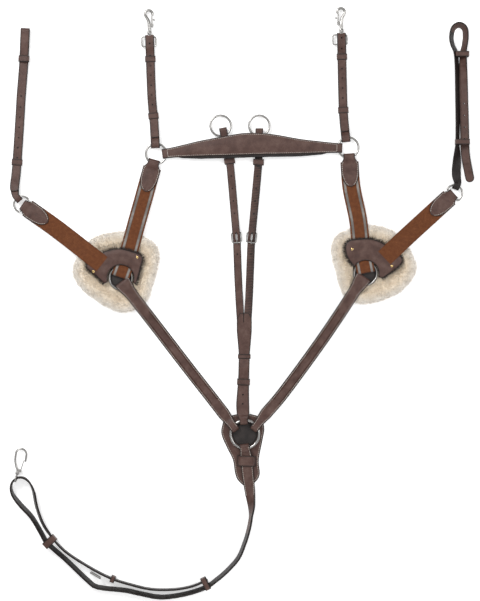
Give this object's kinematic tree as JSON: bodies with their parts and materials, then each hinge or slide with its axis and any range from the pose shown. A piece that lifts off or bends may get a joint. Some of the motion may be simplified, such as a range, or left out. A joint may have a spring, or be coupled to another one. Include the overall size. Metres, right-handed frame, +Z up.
{
  "type": "horse breastplate",
  "caption": "Horse breastplate laid flat, with leather straps, elastic inserts, sheepskin pads, rings, a martingale fork and snap hooks.",
  "frame": {"origin": "on the floor, under the centre of the outline of the breastplate laid out flat", "axes": "+Z up from the floor, +Y from the belly snap's end towards the wither straps, +X to the right as seen from above"},
  "size_m": [1.0236, 1.302, 0.0305],
  "materials": {
    "bridle_leather": "matt dark brown bridle leather with light stitching",
    "lining_leather": "soft black-brown padded leather",
    "elastic_web": "chestnut woven elastic with two grey grip lines",
    "fleece": "cream sheepskin fleece",
    "nickel_plate": "bright nickel plate"
  },
  "bodies": {
    "harness": {"wither_strap": "bridle_leather", "chest_guard": "bridle_leather", "guard_band": "bridle_leather", "martingale_fork": "bridle_leather", "fork_keeper_upper": "bridle_leather", "belly_strap": "bridle_leather", "belly_keeper_end": "bridle_leather", "belly_keeper_middle": "bridle_leather", "belly_keeper_buckle": "bridle_leather", "shoulder_chape_left": "bridle_leather", "girth_chape_left": "bridle_leather", "shoulder_patch_left": "bridle_leather", "chest_strap_left": "bridle_leather", "rein_strap_left": "bridle_leather", "shoulder_chape_right": "bridle_leather", "girth_chape_right": "bridle_leather", "shoulder_patch_right": "bridle_leather", "chest_strap_right": "bridle_leather", "rein_strap_right": "bridle_leather", "wither_lining": "lining_leather", "shoulder_elastic_left": "elastic_web", "girth_elastic_left": "elastic_web", "shoulder_elastic_right": "elastic_web", "girth_elastic_right": "elastic_web", "sheepskin_pad_left": "fleece", "sheepskin_pad_right": "fleece", "centre_ring": "nickel_plate", "belly_buckle": "nickel_plate", "wither_ring_left": "nickel_plate", "shoulder_ring_left": "nickel_plate", "rein_buckle_left": "nickel_plate", "wither_ring_right": "nickel_plate", "shoulder_ring_right": "nickel_plate", "rein_buckle_right": "nickel_plate"},
    "snap_strap_left": {"snap_strap_left": "bridle_leather", "snap_base_left": "nickel_plate"},
    "snap_strap_right": {"snap_strap_right": "bridle_leather", "snap_base_right": "nickel_plate"},
    "snap_keeper_left": {"snap_keeper_left": "bridle_leather"},
    "snap_keeper_right": {"snap_keeper_right": "bridle_leather"},
    "snap_hook_left": {"snap_hook_left": "nickel_plate"},
    "snap_hook_right": {"snap_hook_right": "nickel_plate"},
    "snap_bolt_left": {"snap_bolt_left": "nickel_plate"},
    "snap_bolt_right": {"snap_bolt_right": "nickel_plate"},
    "girth_ring_left": {"girth_ring_left": "nickel_plate"},
    "girth_ring_right": {"girth_ring_right": "nickel_plate"},
    "girth_strap_left": {"girth_strap_left": "bridle_leather"},
    "girth_strap_right": {"girth_strap_right": "bridle_leather"},
    "girth_keeper_left": {"girth_keeper_left": "bridle_leather"},
    "rein_ring_left": {"rein_ring_left": "nickel_plate"},
    "rein_ring_right": {"rein_ring_right": "nickel_plate"},
    "rein_tongue_left": {"rein_tongue_left": "nickel_plate"},
    "rein_tongue_right": {"rein_tongue_right": "nickel_plate"},
    "rein_keeper_left": {"rein_keeper_left": "bridle_leather"},
    "rein_keeper_right": {"rein_keeper_right": "bridle_leather"},
    "fork_keeper_lower": {"fork_keeper_lower": "bridle_leather"},
    "belly_snap_eye": {"belly_snap_eye": "nickel_plate"},
    "belly_hook": {"belly_hook": "nickel_plate"},
    "belly_gate": {"belly_gate": "nickel_plate"}
  },
  "joints": [
    {"name": "snap_swing_left", "type": "hinge", "parent": "harness", "child": "snap_strap_left", "pos_m": [-0.19206, 0.35005, 0.0071], "axis": [0.9968, 0.0801, 0], "range_deg": [0, 80]},
    {"name": "snap_swing_right", "type": "hinge", "parent": "harness", "child": "snap_strap_right", "pos_m": [0.22704, 0.36345, 0.0071], "axis": [0.9675, 0.253, 0], "range_deg": [0, 80]},
    {"name": "snap_keeper_left_slide", "type": "slide", "parent": "snap_strap_left", "child": "snap_keeper_left", "axis": [-0.0325, 0.9995, 0], "range_m": [-0.012, 0.004]},
    {"name": "snap_keeper_right_slide", "type": "slide", "parent": "snap_strap_right", "child": "snap_keeper_right", "axis": [-0.0202, 0.9998, 0], "range_m": [-0.012, 0.004]},
    {"name": "snap_turn_left", "type": "hinge", "parent": "snap_strap_left", "child": "snap_hook_left", "pos_m": [-0.20476, 0.58515, 0.00635], "axis": [-0.0343, 0.9994, 0], "continuous": true},
    {"name": "snap_turn_right", "type": "hinge", "parent": "snap_strap_right", "child": "snap_hook_right", "pos_m": [0.21774, 0.58965, 0.00635], "axis": [-0.0209, 0.9998, 0], "continuous": true},
    {"name": "snap_bolt_left_slide", "type": "slide", "parent": "snap_hook_left", "child": "snap_bolt_left", "axis": [0.0343, -0.9994, 0], "range_m": [0, 0.006], "stiffness_N_per_m": 150, "springref_m": -0.002},
    {"name": "snap_bolt_right_slide", "type": "slide", "parent": "snap_hook_right", "child": "snap_bolt_right", "axis": [0.0209, -0.9998, 0], "range_m": [0, 0.006], "stiffness_N_per_m": 150, "springref_m": -0.002},
    {"name": "girth_ring_left_turn", "type": "hinge", "parent": "harness", "child": "girth_ring_left", "pos_m": [-0.48126, 0.21365, 0.0068], "axis": [0.5723, 0.82, 0], "range_deg": [0, 80]},
    {"name": "girth_ring_right_turn", "type": "hinge", "parent": "harness", "child": "girth_ring_right", "pos_m": [0.46214, 0.23765, 0.0068], "axis": [0.6749, -0.7379, 0], "range_deg": [0, 80]},
    {"name": "girth_swing_left", "type": "hinge", "parent": "girth_ring_left", "child": "girth_strap_left", "pos_m": [-0.49569, 0.23125, 0.0068], "axis": [0.8192, 0.5736, 0], "range_deg": [0, 80]},
    {"name": "girth_swing_right", "type": "hinge", "parent": "girth_ring_right", "child": "girth_strap_right", "pos_m": [0.47139, 0.25814, 0.0068], "axis": [0.9511, -0.309, 0], "range_deg": [0, 70]},
    {"name": "girth_keeper_left_slide", "type": "slide", "parent": "girth_strap_left", "child": "girth_keeper_left", "axis": [0.0704, 0.9975, 0], "range_m": [-0.004, 0.01]},
    {"name": "rein_ring_left_turn", "type": "hinge", "parent": "harness", "child": "rein_ring_left", "pos_m": [-0.04046, 0.36855, 0.007], "axis": [0.938, 0.3467, 0], "range_deg": [0, 50]},
    {"name": "rein_ring_right_turn", "type": "hinge", "parent": "harness", "child": "rein_ring_right", "pos_m": [0.03674, 0.36715, 0.007], "axis": [1, 0, 0], "range_deg": [0, 40]},
    {"name": "rein_tongue_left_turn", "type": "hinge", "parent": "harness", "child": "rein_tongue_left", "pos_m": [-0.01416, 0.15465, 0.0061], "axis": [-0.9963, -0.0858, 0], "range_deg": [0, 25]},
    {"name": "rein_tongue_right_turn", "type": "hinge", "parent": "harness", "child": "rein_tongue_right", "pos_m": [0.02104, 0.15465, 0.0061], "axis": [-0.9955, 0.095, 0], "range_deg": [0, 25]},
    {"name": "rein_keeper_left_slide", "type": "slide", "parent": "harness", "child": "rein_keeper_left", "axis": [0.1402, -0.9901, 0], "range_m": [-0.006, 0.012]},
    {"name": "rein_keeper_right_slide", "type": "slide", "parent": "harness", "child": "rein_keeper_right", "axis": [-0.0569, -0.9984, 0], "range_m": [-0.006, 0.012]},
    {"name": "fork_keeper_slide", "type": "slide", "parent": "harness", "child": "fork_keeper_lower", "axis": [-0.0385, -0.9993, 0], "range_m": [-0.008, 0.008]},
    {"name": "belly_eye_swing", "type": "hinge", "parent": "harness", "child": "belly_snap_eye", "pos_m": [-0.49776, -0.38635, 0.0156], "axis": [0, 0, 1], "range_deg": [-0.5, 8]},
    {"name": "belly_snap_turn", "type": "hinge", "parent": "belly_snap_eye", "child": "belly_hook", "pos_m": [-0.49776, -0.38635, 0.0062], "axis": [0.156, 0.9878, 0], "continuous": true},
    {"name": "belly_gate_turn", "type": "hinge", "parent": "belly_hook", "child": "belly_gate", "pos_m": [-0.48909, -0.3699, 0.0062], "axis": [0, 0, 1], "range_deg": [0, 25], "stiffness_Nm_per_rad": 0.05, "springref_deg": -20.05}
  ]
}
